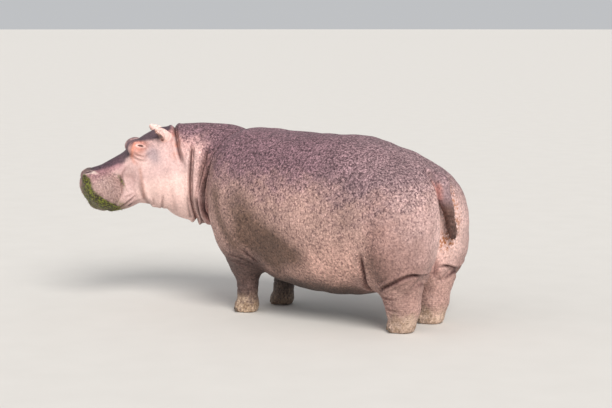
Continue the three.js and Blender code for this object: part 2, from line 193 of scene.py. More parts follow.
def smooth_path(points, parts=6):
    c = np.array(points)
    c = np.vstack([2 * c[0] - c[1], c, 2 * c[-1] - c[-2]])
    slope = (c[2:] - c[:-2]) / 2
    pairs = zip(c[1:-2], c[2:-1], slope[:-1], slope[1:])
    return np.array([*(hermite(*pair, t) for pair in pairs for t in np.arange(parts) / parts), c[-2]])


def path_distance(line, a, b):
    """Distance to a path in a plane, the nearest place along it, and its length."""
    best, where, start = np.full(a.shape, FAR), np.zeros(a.shape), 0.0
    for (a0, b0), (a1, b1) in zip(line[:-1], line[1:]):
        da, db = a1 - a0, b1 - b0
        t = clamp(((a - a0) * da + (b - b0) * db) / (da * da + db * db))
        r = np.hypot(a - a0 - da * t, b - b0 - db * t)
        length = math.hypot(da, db)
        where = np.where(r < best, start + length * t, where)
        best = np.minimum(r, best)
        start += length
    return best, where, start


# ---- The body as one field, the same as the solids'
def section_at(x):
    """Back line, belly line and half width at x, on a smooth curve through TRUNK."""
    place, last = TRUNK[:, 0], len(TRUNK) - 1
    u = np.clip(x, place[0], place[-1])
    i = np.clip(np.searchsorted(place, u), 1, last) - 1
    a, b, c, d = (np.moveaxis(TRUNK[np.clip(i + k, 0, last)], -1, 0) for k in (-1, 0, 1, 2))
    span = c[0] - b[0]
    t = (u - b[0]) / span
    return [
        hermite(b[j], c[j], (c[j] - a[j]) / (c[0] - a[0]) * span, (d[j] - b[j]) / (d[0] - b[0]) * span, t)
        for j in (1, 2, 3)
    ]


def barrel(p):
    """The trunk's rounded tube, closed at the chest and the rump."""
    top, bottom, half = section_at(p[0])
    mid, rise, squareness = (top + bottom) / 2, (top - bottom) / 2, 2.25
    v = (np.abs(p[1] / half) ** squareness + np.abs((p[2] - mid) / rise) ** squareness) ** (1 / squareness)
    behind, ahead = np.maximum(p[0] - 950, 0), np.maximum(-290 - p[0], 0)
    t = behind / 448 + ahead / 350
    m = np.where(behind > 0, 2.5, 2.0)
    w = (v**m + t**m) ** (1 / m)
    return np.sqrt(p[1] ** 2 + (p[2] - mid) ** 2 + (behind + ahead) ** 2) * (1 - 1 / np.maximum(w, 1e-6))


def trunk_field(p):
    """The barrel with shoulders, thighs and the cleft of the rump."""
    d = join(barrel(p), ellipsoid(mirrored(p), (-240, 270, 770), (230, 235, 400)), 120)
    d = join(d, ellipsoid(mirrored(p), (1100, 262, 700), (282, 258, 420)), 140)
    return carve(d, limb(p, (1395, 0, 1000), (1375, 0, 440), 80, 100), 110)


def neck_field(p):
    d = ellipsoid(p, (-580, -5, 1030), (340, 335, 410), (0, 1, -4))
    d = join(d, ellipsoid(p, (-790, -75, 1050), (240, 305, 390), (0, 1, -22)), 120)
    return join(d, ellipsoid(p, (-920, -180, 1070), (210, 285, 362), (0, 1, -40)), 120)


# Head frame: u forward along the muzzle, v to the animal's left, w up.
(yaw_cos, yaw_sin), (pitch_cos, pitch_sin) = cos_sin(HEAD_YAW), cos_sin(HEAD_PITCH)
HEAD_U = np.array([-yaw_cos * pitch_cos, -yaw_sin * pitch_cos, -pitch_sin])
HEAD_V = np.array([yaw_sin, -yaw_cos, 0.0])
HEAD_W = np.array([-yaw_cos * pitch_sin, -yaw_sin * pitch_sin, pitch_cos])


def to_head(p):
    return along_axes(p, HEAD_ORIGIN, (HEAD_U, HEAD_V, HEAD_W))


def head_field(h):
    """Skull, forehead, jaw muscles, bridge, lower jaw, muzzle, its pads, chin, nostril and eye mounds."""
    side = mirrored(h)
    d = ellipsoid(h, (70, 0, -95), (215, 180, 178))
    d = join(d, ellipsoid(h, (-35, 0, -14), (140, 122, 122)), 60)
    d = join(d, ellipsoid(side, (80, 115, -270), (210, 135, 230)), 90)
    d = join(d, limb(h, (200, 0, -110), (560, 0, -160), 128, 104), 60)
    d = join(d, ellipsoid(h, (370, 0, -310), (290, 160, 112)), 70)
    d = join(d, ellipsoid(h, (562, 0, -192), (124, 194, 140), (0, 2, 28)), 60)
    d = join(d, ellipsoid(side, (512, 118, -235), (122, 102, 150), (0, 2, 34)), 50)
    d = join(d, ellipsoid(h, (410, 0, -345), (140, 150, 68)), 50)
    d = join(d, ellipsoid(side, (594, 104, -90), (64, 48, 40)), 40)
    return join(d, ellipsoid(side, (180, 134, 20), (78, 62, 62)), 45)


def leg_field(p, foot, sole, stretches):
    side = math.copysign(1, foot[1])
    q = (p[0] - foot[0], (p[1] - foot[1]) * side, p[2])
    d = FAR
    for *stretch, fillet in stretches:
        d = join(d, limb(q, *stretch), fillet)
    reach = sole - TOE_INSET
    for k, s in map(cos_sin, TOE_ANGLES):
        d = join(d, ellipsoid(q, (-k * reach, s * reach, TOE_HEIGHT), TOE_SIZE), 16)
    return d


TAIL_LINE = smooth_path(TAIL_PATH, 4)


def tail_field(p):
    """Ball-ended stretches along the tail's line, flatter across towards the tip."""
    d = np.full(p[0].shape, 1e3)
    n = len(TAIL_LINE) - 1
    radii = np.interp(np.arange(n + 1) / n, np.arange(5) / 4, TAIL_RADII)
    radii[-1] *= TAIL_TIP
    for i, (a, b) in enumerate(zip(TAIL_LINE[:-1], TAIL_LINE[1:])):
        flat = mix(0.95, 0.62, (i + 0.5) / n)
        q, e = ((r[0], (r[1] - a[1]) / flat + a[1], r[2]) for r in (p, b))
        d = np.minimum(d, limb(q, a, e, radii[i], radii[i + 1]) * (flat + 1) / 2)
    return d


def tail_middle(z):
    _, y, up = np.array(TAIL_PATH[::-1], float).T
    return np.interp(z, up, y)


def to_ear(h):
    """Ear frame on either side of the head: x forward, y outward, z up along the ear."""
    return turned(mirrored(h), EAR_ROOT, (1, 2, EAR_OUT), (0, 2, EAR_FORWARD), (0, 1, -EAR_TURN))


def ear_field(h):
    """An egg drawn out to a point that leans forward, on a rounded root."""
    x, y, z = to_ear(h)
    depth, _, height = EAR_SIZE
    rise = (np.sqrt(1 + 4 * EAR_PEAK * np.maximum((z - EAR_LIFT) / height, 0)) - 1) / (2 * EAR_PEAK)
    x, z = x - depth * EAR_HOOK * rise**2, z - height * EAR_PEAK * rise**2
    leaf = ellipsoid((x, y, z), (0, 0, EAR_LIFT), EAR_SIZE)
    return join(leaf, ellipsoid(to_ear(h), (5, -2, 14), (44, 31, 40)), 18)


def ear_cup(ear):
    """The hollow of the ear, open to the front."""
    return ellipsoid(ear, (26, 9, 68), (42, 25, 53))


def body_field(p):
    """The whole body without its folds."""
    h = to_head(p)
    d = join(trunk_field(p), neck_field(p), 45)
    d = join(d, head_field(h), 60)
    for feet, sole, fillet, *stretches in LEGS.values():
        for foot in feet.values():
            d = join(d, leg_field(p, foot, sole, stretches), fillet)
    d = join(d, ear_field(h), 20)
    d = join(d, tail_field(p), 9)
    return carve(d, p[2], 9)


# ---- Folds, lids and other fine forms
# Each fold is a curve in a plane: name, depth, width, height of the rolls beside it, whether the first and the last
# end fade, and the points, two numbers each. The planes are the head's side (u, w), the body's side (x, z), the rear
# (y, z), and the rear measured from the tail's middle.
FOLDS = {
    "head": (
        ("nape", 24, 12, 10, 0, 1, -190, 130, -146, 58, -128, -5, -113, -80, -108, -155, -106, -235),
        ("neck_deep", 46, 11, 17, 1, 0, -250, -30, -222, -85, -172, -195, -127, -320, -94, -460, -90, -575, -105, -690),
        ("jaw_back", 10, 8, 4, 1, 0, -84, -400, -75, -430, -60, -513, -59, -620),
        ("jaw_notch_a", 8, 7, 4, 1, 0, 100, -372, 107, -399, 122, -448, 130, -490),
        ("jaw_notch_b", 7, 6, 3, 1, 0, 178, -376, 183, -403, 186, -440),
        ("muzzle_back", 7, 8, 4, 1, 1, 246, -92, 302, -112, 344, -140, 369, -190, 384, -247, 388, -310, 381, -350),
        ("mouth", 10, 5, 5, 0, 1, 700, -395, 560, -398, 470, -392, 390, -372, 330, -345, 290, -320, 270, -290),
        ("lip_low", 4, 6, 3, 1, 1, 410, -410, 352, -396, 286, -378, 250, -384),
        ("lip_mid", 5, 6, 3, 1, 1, 405, -318, 350, -322, 300, -305),
        ("cheek_front", 9, 13, 5, 1, 0, 232, -190, 250, -240, 256, -300, 248, -370, 215, -440),
        ("cheek_back", 4, 12, 3, 1, 0, 10, -300, 30, -380, 40, -460, 30, -540),
        ("under_lid", 6, 6, 4, 1, 1, 228, 22, 208, -24, 160, -56, 108, -42, 88, -16),
        ("under_lid_low", 6, 6, 4, 1, 1, 242, -20, 214, -62, 160, -88, 112, -78),
    ),
    "body": (
        ("neck_thin", 20, 8, 9, 1, 1, -572, 1330, -565, 1204, -581, 1089, -609, 962, -640, 870),
        ("shoulder", 42, 11, 15, 1, 1,
         -408, 1450, -425, 1400, -454, 1291, -507, 1117, -574, 925, -612, 781, -575, 650, -440, 560),
        ("neck_low", 20, 12, 10, 1, 0, -612, 940, -649, 856, -671, 753, -726, 652, -800, 600),
        ("flank", 24, 14, 10, 1, 0, 958, 640, 952, 560, 944, 464, 925, 371, 900, 300),
        ("thigh_top", 24, 9, 10, 1, 1,
         1000, 296, 1040, 322, 1118, 366, 1192, 403, 1261, 442, 1312, 456, 1332, 425, 1290, 362, 1240, 310),
        ("thigh_mid", 5, 8, 3, 1, 1, 1010, 372, 1070, 392, 1130, 425, 1180, 470),
        ("knee_a", 9, 7, 5, 1, 1, 1000, 300, 1050, 270, 1130, 262, 1180, 268),
        ("knee_b", 8, 7, 5, 1, 1, 1020, 192, 1070, 178, 1143, 171, 1190, 176),
        ("knee_c", 4, 5, 2, 1, 1, 1015, 232, 1060, 220, 1110, 215),
        ("elbow_a", 9, 8, 5, 1, 1, -160, 560, -117, 515, -56, 462, 20, 400),
        ("elbow_b", 6, 7, 4, 1, 1, -345, 500, -240, 478, -168, 459, -84, 413, -30, 370),
        ("elbow_c", 4, 6, 3, 1, 1, -330, 440, -230, 425, -150, 395, -100, 360),
        ("wrist", 4, 6, 2, 1, 1, -360, 190, -260, 178, -160, 188),
    ),
    "tail": (
        ("tail_root", 15, 9, 7, 1, 1, 20, 1172, 58, 1150, 80, 1105, 88, 1040, 80, 975, 66, 915),
    ),
    "rear": (
        ("buttock", 10, 11, 6, 1, 1, 30, 560, 52, 450, 75, 380, 120, 330),
        ("buttock_low", 6, 8, 3, 1, 1, 60, 330, 110, 352, 170, 340),
    ),
}
SHALLOW_RIGHT = ("neck_thin", "shoulder", "neck_low")
CREASE = 5.0
SMOOTH_FOLDS = [
    (plane, *fold[:6], smooth_path(np.reshape(fold[6:], (-1, 2)))) for plane, folds in FOLDS.items() for fold in folds
]


def folds_at(p, h):
    """Depth of the folds, and how deep in one and how near to one each point lies."""
    depth, inside, beside = (np.zeros(p[0].shape) for _ in range(3))
    across = np.abs(p[1])
    planes = {
        "head": (h[0], h[2], (h[0] > -330) & (p[0] < -560)),
        "body": (p[0], p[2], across > 60),
        "tail": (np.abs(p[1] - tail_middle(p[2])), p[2], p[0] > 1180),
        "rear": (across, p[2], p[0] > 1080),
    }
    for plane, name, deep, width, roll, fade_first, fade_last, line in SMOOTH_FOLDS:
        a, b, where = planes[plane]
        lo, hi = line.min(0) - 6 * width, line.max(0) + 6 * width
        near = where & (a > lo[0]) & (a < hi[0]) & (b > lo[1]) & (b < hi[1])
        if not near.any():
            continue
        r, along, total = path_distance(line, a[near], b[near])
        soft = min(0.35 * total, 120)
        strength = step(0, soft, along if fade_first else FAR) * step(0, soft, total - along if fade_last else FAR)
        if plane == "body":
            strength = strength * step(40, 150, across[near])
        if name in SHALLOW_RIGHT:
            strength = strength * mix(0.45, 1, step(60, -60, p[1][near]))
        cut = np.exp(-(((np.hypot(r, CREASE) - CREASE) / width) ** 1.2))
        depth[near] += strength * (deep * cut - roll * bell(r - 2.3 * width, 1.25 * width))
        inside[near] = np.maximum(inside[near], strength * cut * min(1, deep / 14))
        beside[near] = np.maximum(beside[near], step(0.05, 0.3, strength) * bell(r, 3.2 * width))
    return depth, inside, beside


# Eye frame: along the slit, up across it, and out; its origin is on the front of the eyeball
EYE_C = unit(EYE_LOOK)
slit = np.insert(cos_sin(EYE_SLANT), 1, 0)
EYE_A = unit(slit - (slit @ EYE_C) * EYE_C)
EYE_B = np.cross(EYE_A, EYE_C)


def to_eye(h):
    return along_axes(mirrored(h), EYE_SEAT + EYE_C * EYE_RADIUS, (EYE_A, EYE_B, EYE_C))


def to_nostril(h):
    return turned(mirrored(h), NOSTRIL, (0, 2, 35), (0, 1, 28))


def face_forms(h):
    """Lids and nostril rims as a depth, with masks for eye, lid, nostril and ear cup."""
    a, b, c = to_eye(h)
    near = bell(c, 26)
    eye = np.hypot(a / 20, b / 7)
    ring, outer = np.hypot(a / 32, (b - 1) / 17), np.hypot(a / 50, (b - 2) / 32)
    above = mix(0.35, 1.0, step(-6, 8, b))
    lids = 4.0 * bell(eye - 1.7, 0.5) - 3.6 * above * np.exp(-np.abs(ring - 1) * 5.5) + 1.8 * bell(ring - 1.35, 0.22)
    lids = lids - 2.4 * above * np.exp(-np.abs(outer - 1) * 8)
    x, y, z = to_nostril(h)
    nostril = np.hypot(x / 29, y / 14)
    depth = -lids * near - 6 * bell(nostril - 1.25, 0.42) * bell(z, 45)
    lid = bell(np.maximum(ring - 1, 0), 0.5) * near
    return depth, dict(eye=eye, lid=lid, nostril=nostril, cup=step(5, -3, ear_cup(to_ear(h))))


def waves(p):
    """Slow swellings, the muscle forms of shoulder and thigh, and the ridges down the tail."""
    x, y, z = p
    out = 26 * spot((x - 95) * 0.6, z - 560, 115) + 20 * bell(x - 1005, 55) * bell(z - 500, 170)
    out = out - 12 * bell(x + 175, 75) * bell(z - 780, 260) + 9 * bell(x + 330, 60) * bell(z - 880, 240)
    out = out * step(120, 260, np.abs(y))
    on_tail = step(26, 6, tail_field(p)) * step(960, 860, z)
    out = out + on_tail * (2.6 * np.cos((y - tail_middle(z)) / 4.6 + 0.02 * z) + 1.6 * np.sin(z / 5.5))
    for i, (length, height) in enumerate(((310, 3.2), (190, 2.2), (120, 1.5), (83, 0.9))):
        t = 2.1 + 1.7 * i
        k = 2 * math.pi / length
        out += height * np.sin(k * (x * math.cos(t) + z * math.sin(t)) + 1.3 * i) * np.cos(
            k * (y * math.cos(2 * t) + z * 0.6 * math.sin(t)) + i
        )
    return out


def skin_field(p):
    """The body with its swellings, lids, nostrils and ear cups."""
    h = to_head(p)
    d = body_field(p) + waves(p) * step(0, 160, p[2]) * mix(1, 0.35, step(-560, -900, p[0]))
    face = d + face_forms(h)[0]
    face = carve(face, ellipsoid(to_eye(h), (0, 0, LID_FRONT), EYE_SLIT), 2.5)
    face = carve(carve(face, ear_cup(to_ear(h)), 5), ellipsoid(to_nostril(h), (0, 0, 0), NOSTRIL_HOLE), 6)
    return carve(np.where(p[0] < -700, face, d), p[2] - SOLE_GAP, 5)


# ---- From the field to a mesh
def settle(field, points, turns=2, limit=9.0):
    """Points moved onto the field's zero surface, and its slope there."""
    p, e = points.copy(), 0.6
    for _ in range(turns):
        d = field(columns(p))
        g = np.stack([field(columns(p + e * axis)) - d for axis in np.eye(3)], 1) / e
        steep = np.maximum((g * g).sum(1), 0.3)
        p -= g * np.clip(d / steep, -limit, limit)[:, None]
        p -= g * np.clip(field(columns(p)) / steep, -limit, limit)[:, None]
    return p, g


def close_crossings(value):
    """Fills the grid squares where inside and outside meet crosswise."""
    for axes in ((0, 1), (0, 2), (1, 2)):
        view = np.moveaxis(value, axes, (0, 1))
        a, b, c, d = view[:-1, :-1], view[:-1, 1:], view[1:, 1:], view[1:, :-1]
        crossed = ((a < 0) == (c < 0)) & ((b < 0) == (d < 0)) & ((a < 0) != (b < 0))
        for corner in (a, b, c, d):
            corner[crossed] = np.minimum(corner[crossed], -0.1)


def net(field, lo, hi, size):
    """A closed mesh of triangles, with one point in each cell the surface crosses."""
    lo = np.array(lo)
    n = np.ceil((hi - lo) / size).astype(int) + 1
    lines = [lo[i] + size * np.arange(n[i]) for i in range(3)]
    value = np.empty(n)
    for i in range(0, n[0], 12):
        x, y, z = np.meshgrid(lines[0][i : i + 12], lines[1], lines[2], indexing="ij")
        value[i : i + 12] = field((x, y, z))
    for _ in range(3):
        close_crossings(value)
    inside = value < 0
    eight = np.lib.stride_tricks.sliding_window_view(inside, (2, 2, 2))
    active = eight.any((3, 4, 5)) & ~eight.all((3, 4, 5))
    cells = np.argwhere(active)
    index = np.full(active.shape, -1)
    index[active] = np.arange(len(cells))

    # A cell's point is the mean of the places where the surface crosses its edges
    total, hits = np.zeros((len(cells), 3)), np.zeros(len(cells))
    for corner in np.ndindex(2, 2, 2):
        for axis in np.eye(3, dtype=int)[np.equal(corner, 0)]:
            va, vb = (value[tuple((cells + c).T)] for c in (corner, corner + axis))
            cross = (va < 0) != (vb < 0)
            t = np.where(cross, va / np.where(cross, va - vb, 1), 0)
            total += (corner + t[:, None] * axis) * cross[:, None]
            hits += cross
    points = lo + size * (cells + total / hits[:, None])

    # Each grid edge across the surface gives a square between four cells, cut the shorter way
    quads = []
    for axis in range(3):
        eb, ec = np.roll(np.eye(3, dtype=int), -axis, axis=0)[1:]
        g = np.argwhere(np.diff(inside, axis=axis))
        quad = np.stack([index[tuple(cell.T)] for cell in (g - eb - ec, g - ec, g, g - eb)], 1)
        quads.append(np.where(inside[tuple(g.T)][:, None], quad, quad[:, ::-1]))
    quads = np.vstack(quads)
    a, b, c, d = np.moveaxis(points[quads], 1, 0)
    short = size_of(a - c) <= size_of(b - d)
    one = np.where(short[:, None], quads[:, [0, 1, 2]], quads[:, [1, 2, 3]])
    two = np.where(short[:, None], quads[:, [0, 2, 3]], quads[:, [1, 3, 0]])
    return points, np.vstack([one, two])


def edges_of(faces, n):
    """The mesh's edges as pairs, and the numbers of each face's three edges."""
    ends = np.stack([faces, np.roll(faces, -1, axis=1)], -1)
    key = ends.min(-1).astype(np.int64) * n + ends.max(-1)
    found, number = np.unique(key.ravel(), return_inverse=True)
    return np.stack([found // n, found % n], 1), number.reshape(-1, 3)


def relax(points, faces, amount):
    pairs, _ = edges_of(faces, len(points))
    both = np.vstack([pairs, pairs[:, ::-1]])
    total = np.stack([np.bincount(both[:, 0], points[both[:, 1], k], len(points)) for k in range(3)], 1)
    return mix(points, total / np.bincount(both[:, 0], minlength=len(points))[:, None], amount)


def split(points, faces, size):
    """Halves each edge that is much too long, and cuts the faces beside it."""
    pairs, number = edges_of(faces, len(points))
    middle = points[pairs].mean(1)
    marked = size_of(points[pairs[:, 0]] - points[pairs[:, 1]]) > SPLIT_OVER * size(columns(middle))
    fresh = np.full(len(pairs), -1)
    fresh[marked] = len(points) + np.arange(marked.sum())
    points = np.vstack([points, settle(body_field, middle[marked], 1)[0]])
    m = fresh[number]
    cuts = (m >= 0).sum(1)
    out = [faces[cuts == 0]]
    for j in range(3):
        k, n = (j + 1) % 3, (j + 2) % 3
        rows = (cuts == 1) & (m[:, j] >= 0)
        a, b, c, ab = faces[rows, j], faces[rows, k], faces[rows, n], m[rows, j]
        out += [np.stack([a, ab, c], 1), np.stack([ab, b, c], 1)]
        rows = (cuts == 2) & (m[:, j] < 0)
        a, b, c, ab, bc = faces[rows, k], faces[rows, n], faces[rows, j], m[rows, k], m[rows, n]
        out.append(np.stack([ab, b, bc], 1))
        near = size_of(points[a] - points[bc]) < size_of(points[ab] - points[c])
        out.append(np.stack([a, ab, np.where(near, bc, c)], 1))
        out.append(np.stack([np.where(near, a, ab), bc, c], 1))
    rows = cuts == 3
    (a, b, c), (ab, bc, ca) = faces[rows].T, m[rows].T
    out += [np.stack(t, 1) for t in ((a, ab, ca), (ab, b, bc), (ca, bc, c), (ab, bc, ca))]
    return points, np.vstack(out)


def wanted_size(p):
    h = to_head(p)
    depth, _, beside = folds_at(p, h)
    x, y, z = to_ear(h)
    rules = (
        (12.5, -620, -380, p[0]),
        (9.0, -60, -420, h[0]),
        (11.0, 150, 320, p[2]),
        (8.0, 20, 130, tail_field(p)),
        (7.5, 0.5, 0.1, beside),
        (4.8, 16, 6, depth),
        (2.2, 20, 200, size_of(to_eye(h), 0)),
        (3.8, 34, 220, size_of(to_nostril(h), 0)),
        (4.2, 75, 280, size_of((x, y, z - 60), 0)),
    )
    size = np.full(p[0].shape, COARSE)
    for fine, lo, hi, value in rules:
        size = np.minimum(size, mix(fine, COARSE, step(lo, hi, value)))
    return size


def skin_mesh():
    """A net round the body, split to size and settled on the skin, with the folds pressed in last."""
    points, faces = net(body_field, GRID_LOW, GRID_HIGH, GRID_CELL)
    points, _ = settle(body_field, points)
    points, _ = settle(body_field, relax(points, faces, 0.5), 1)
    for _ in range(SPLIT_ROUNDS):
        points, faces = split(points, faces, wanted_size)
    points, _ = settle(body_field, relax(points, faces, 0.4), 1)
    points, _ = settle(skin_field, points, 3)
    points, slope = settle(skin_field, relax(points, faces, 0.15), 2)
    normals = unit(slope)
    p = columns(points)
    points = points - normals * folds_at(p, to_head(p))[0][:, None]
    points[:, 2] = np.maximum(points[:, 2], SOLE_GAP)
    return points, faces, normals


skin_points, skin_faces, skin_normals = skin_mesh()


# ---- Looks
def linear(code):
    """Linear red, green and blue of a colour written as six hex digits."""
    c = np.array([*bytes.fromhex(code)]) / 255
    return np.where(c <= 0.04045, c / 12.92, ((c + 0.055) / 1.055) ** 2.4)


def colours(codes):
    return [linear(code) for code in codes.split()]


BACK, BACK_REAR, FLANK, BELLY, PALE_PINK, ROSE, ORANGE = colours("8b6a72 9f8285 b9968b e0b4a5 d3b1ac cf8f83 d08870")
PALE_SKIN_AND_LIGHT, NECK_PINK, NECK_PALE, NECK_SHADE, HOOD, MAUVE = colours("f0cdc4 e4b5ae f0cac3 6e3636 483440 a5757c")
TEMPLE, MUZZLE, NOSE_TIP, JAW_AND_BOUNCE_LIGHT, CHEEK_SHADOW, EYE_AROUND = colours("a58f92 a98b84 7d6559 f0ccc3 a56f5c cf8673")
UNDER_EYE, EYE_EDGE_AND_SHADE, LID_AND_HIGHLIGHT, EAR, EAR_CUP_SHADE, NOSTRIL_RIM_HIGHLIGHT = colours("efcac1 3c2220 edcfc6 fbd7cd 4a2622 d8c6bb")
NOSTRIL_SHADE, THIGH, SHADE, LEG, HIND_LEG, FOOT, HIND_FOOT = colours("46323a 8c675f 4f3723 5a4540 b8948a dcc0a4 dec5ae")
LEAF_GREEN, TAIL_LOW, TAIL_EDGE, FOLD_SHADE, FOLD_SHADOW = colours("332c06 6a4a40 cd8c82 4a2626 2e2028")

# Edges of the markings: on the head u and w, but w and u for the lip and the pad; on the body x and z
HOOD_EDGE = (
    (-130, 95), (-60, 62), (0, 37), (48, 40), (129, 67), (196, 76), (222, 40),
    (240, -12), (272, -38), (330, -48), (459, -50), (560, -54), (640, -66),
)
LIP_EDGE = ((-378, 451), (-347, 489), (-276, 559), (-187, 606), (-126, 615), (-87, 618), (-60, 634), (-40, 650))
PAD_EDGE = ((-345, 462), (-309, 417), (-262, 378), (-211, 360), (-157, 362), (-110, 395))
ORBIT_FRONT = ((198, 62), (226, 22), (243, -28), (240, -74), (222, -100))
BEHIND_EAR = ((-105, 45), (-108, -20), (-100, -90))
CHEEK_CREASE = ((214, -140), (226, -225), (236, -300), (246, -365))
SHOULDER_LINE = ((-415, 1420), (-454, 1291), (-507, 1117), (-574, 925), (-612, 781), (-575, 650))
ELBOW_HOLLOW = ((-110, 880), (0, 765), (120, 685), (250, 605), (370, 530))
ELBOW_LOW = ((-70, 640), (60, 560), (150, 480))
ELBOW_CREASE = ((-352, 960), (-320, 850), (-268, 717), (-180, 560))


def on_line(points, a):
    return np.interp(a, *np.transpose(points))


def streak(path, a, b, width):
    return bell(path_distance(path, a, b)[0], width)


def speckled(p, length, seed):
    """Smooth random values from -0.5 to 0.5, with grains of about that length."""
    table = np.random.default_rng(seed).random((32, 32, 32))
    q = [x / length for x in p]
    cell = [np.floor(x).astype(int) for x in q]
    t = [step(0, 1, x - c) for x, c in zip(q, cell)]
    out = np.zeros(p[0].shape)
    for corner in np.ndindex(2, 2, 2):
        share = np.prod([s if c else 1 - s for s, c in zip(t, corner)], axis=0)
        out += share * table[tuple((i + c) % 32 for i, c in zip(cell, corner))]
    return out - 0.5


def markings(points, normals):
    """The hide's colour at each point, with painted shade and painted light where marked below, and masks for the grain
    with its painted highlights and shade, folds, dust, leaf juice and rust.
    """
    x, y, z = p = columns(points)
    u, v, w = head = to_head(p)
    up, out, beyond = normals[:, 2], np.abs(y), np.abs(v)
    blotch, fine, broad = speckled(p, 95, 3), speckled(p, 38, 4), speckled(p, 260, 5)
    wob = 0.55 * blotch + 0.3 * fine + 0.5 * broad
    colour = np.tile(FLANK, (len(points), 1))

    def paint(shade, share):
        nonlocal colour
        colour = colour + (shade - colour) * clamp(share)[:, None]

    def graded(near, far, t):
        return mix(near, far, t[:, None])

    # Back and belly
    back = step(-0.1, 0.78, up + 0.35 * wob + 0.2 * step(950, 1350, z) * (1 - step(1000, 1350, x)))
    paint(BELLY, step(800, 420, z) * step(150, 600, x) * step(1000, 850, x) * 0.9)
    paint(graded(BACK, BACK_REAR, step(300, 1200, x)), back)

    # Brown painted shade in the hollow behind the elbow and along the crease above it, then thigh, rump and underside
    body_side = step(60, 160, out) * (1 - back)
    hollow = streak(ELBOW_HOLLOW, x, z, 115) + streak(ELBOW_LOW, x, z, 120)
    paint(SHADE, clamp(hollow * (0.95 + 0.6 * wob)) * body_side * 0.8)
    paint(SHADE, streak(ELBOW_CREASE, x, z, 48) * body_side * 0.65)
    rump = bell(np.sqrt((x - 1345) ** 2 + (out - 90) ** 2 * 0.5 + ((z - 850) * 0.75) ** 2), 270)
    paint(THIGH, step(950, 1080, x) * (1 - back) * 0.75)
    paint(PALE_PINK, clamp(rump * (0.9 + 0.9 * wob)) * (1 - 0.8 * step(0.5, 0.85, up)))
    paint(SHADE, spot(x - 1045, (z - 500) * 0.7, 95) * step(150, 260, out) * (0.55 + 0.8 * wob))
    # Pale bare skin below the tail, painted paler still as painted light where the groove beside the tail lies in shade
    bare_and_lit = spot((y - 20) * 0.8, (z - 690) * 0.6, 150) * step(1200, 1300, x)
    paint(PALE_SKIN_AND_LIGHT, clamp(bare_and_lit * 1.5) * 0.9)
    cleft = spot(out - 40, (z - 470) * 0.6, 60) * step(1120, 1260, x)
    paint(ROSE, clamp(cleft * (0.9 + 1.2 * wob)) * 0.4)
    # Painted shade on the underside, where the faces turn downwards
    paint(SHADE * 0.3, step(-0.42, -0.82, up) * step(480, 260, z) * step(120, 190, z) * 0.9)

    # Legs and dusty feet
    front = step(620, 400, z) * step(120, -20, x) * step(-640, -520, x)
    paint(LEG, front * 0.95)
    # Painted shadow on the far front leg
    paint(LEG * 0.35, front * step(-80, 60, y) * 0.85)
    hindward = step(500, 800, x)
    paint(HIND_LEG, step(450, 330, z) * step(700, 900, x) * clamp(0.7 + 1.6 * wob))
    dusty = step(190, 40, z + 160 * wob) * mix(step(40, -40, y) * 0.7 + 0.3, 0.75, hindward)
    paint(graded(FOOT, HIND_FOOT, hindward), dusty * 0.9)

    # Neck
    neck = step(-520, -640, x) * step(0.84, 0.36, up + 0.3 * wob)
    paint(NECK_PINK, neck * 0.85)
    ring = bell(x + 638 + 0.12 * (z - 1000), 48) * step(800, 900, z) * step(1330, 1200, z)
    paint(NECK_PALE, clamp(1.3 * ring) * 0.95)
    # Painted shade in a neck fold and low under the neck
    fold_shade = bell(x + 560 - 0.12 * (z - 1000), 45) * step(1350, 1150, z) + spot(x + 640, z - 740, 95)
    paint(NECK_SHADE, clamp(fold_shade) * step(-400, -480, x) * 0.5)

    # Head, from the pale cheeks to the dark hood
    on_head = step(-175, -120, u) * step(-600, -680, x)
    ragged = 26 * fine + 18 * blotch
    paint(PALE_PINK, on_head * 0.95)
    # Pale skin of the lower jaw, painted paler still as painted bounce light from below
    paint(JAW_AND_BOUNCE_LIGHT, on_head * step(-200, -300, w) * step(330, 230, u) * 0.9)
    paint(UNDER_EYE, on_head * spot(u - 165, (w + 70) * 0.8, 55) * 0.8)
    behind_ear = streak(BEHIND_EAR, u, w, 42) * step(-600, -680, x)
    paint(ORANGE, np.clip(behind_ear * (0.45 + 1.6 * fine), 0, 0.8))
    pad = step(-10, 14, u - on_line(PAD_EDGE, w) + ragged) * on_head
    paint(MUZZLE, pad * 0.9)
    above = w - on_line(HOOD_EDGE, u)
    paint(MAUVE, step(-105, -5, above + 0.6 * ragged) * (step(285, 350, u) + 0.6 * step(0, -60, u)) * on_head * 0.9)
    around = spot(u - 165, w - 30, 78) * on_head * step(80, 130, beyond)
    paint(EYE_AROUND, around * (0.58 + wob))
    paint(ORANGE, streak(ORBIT_FRONT, u, w, 13) * on_head * clamp(0.55 + 1.4 * wob))
    temple = spot(u - 88, (w + 68) * 0.75, 58) * on_head
    paint(TEMPLE, np.clip(temple * (0.72 + 1.5 * wob), 0, 0.85))
    # Painted shadow along the crease in front of the cheek
    paint(CHEEK_SHADOW, streak(CHEEK_CREASE, u, w, 13) * on_head * 0.5)
    hood = step(-1, 1, (above + 0.7 * ragged) / mix(12, 34, step(230, 330, u)))
    hood = np.maximum(hood, step(112, 84, beyond + ragged) * step(-90, -50, w) * step(-140, -90, u))
    orbit_front = spot(u - 235, w - 20, 55) * step(95, 125, beyond)
    hood = hood * on_head * step(640, 590, u) * (1 - 0.8 * orbit_front)
    paint(HOOD, hood * (0.93 + 0.2 * wob))
    paint(NOSE_TIP, step(540, 610, u) * step(-130, -90, w) * on_head * clamp(0.6 + wob))

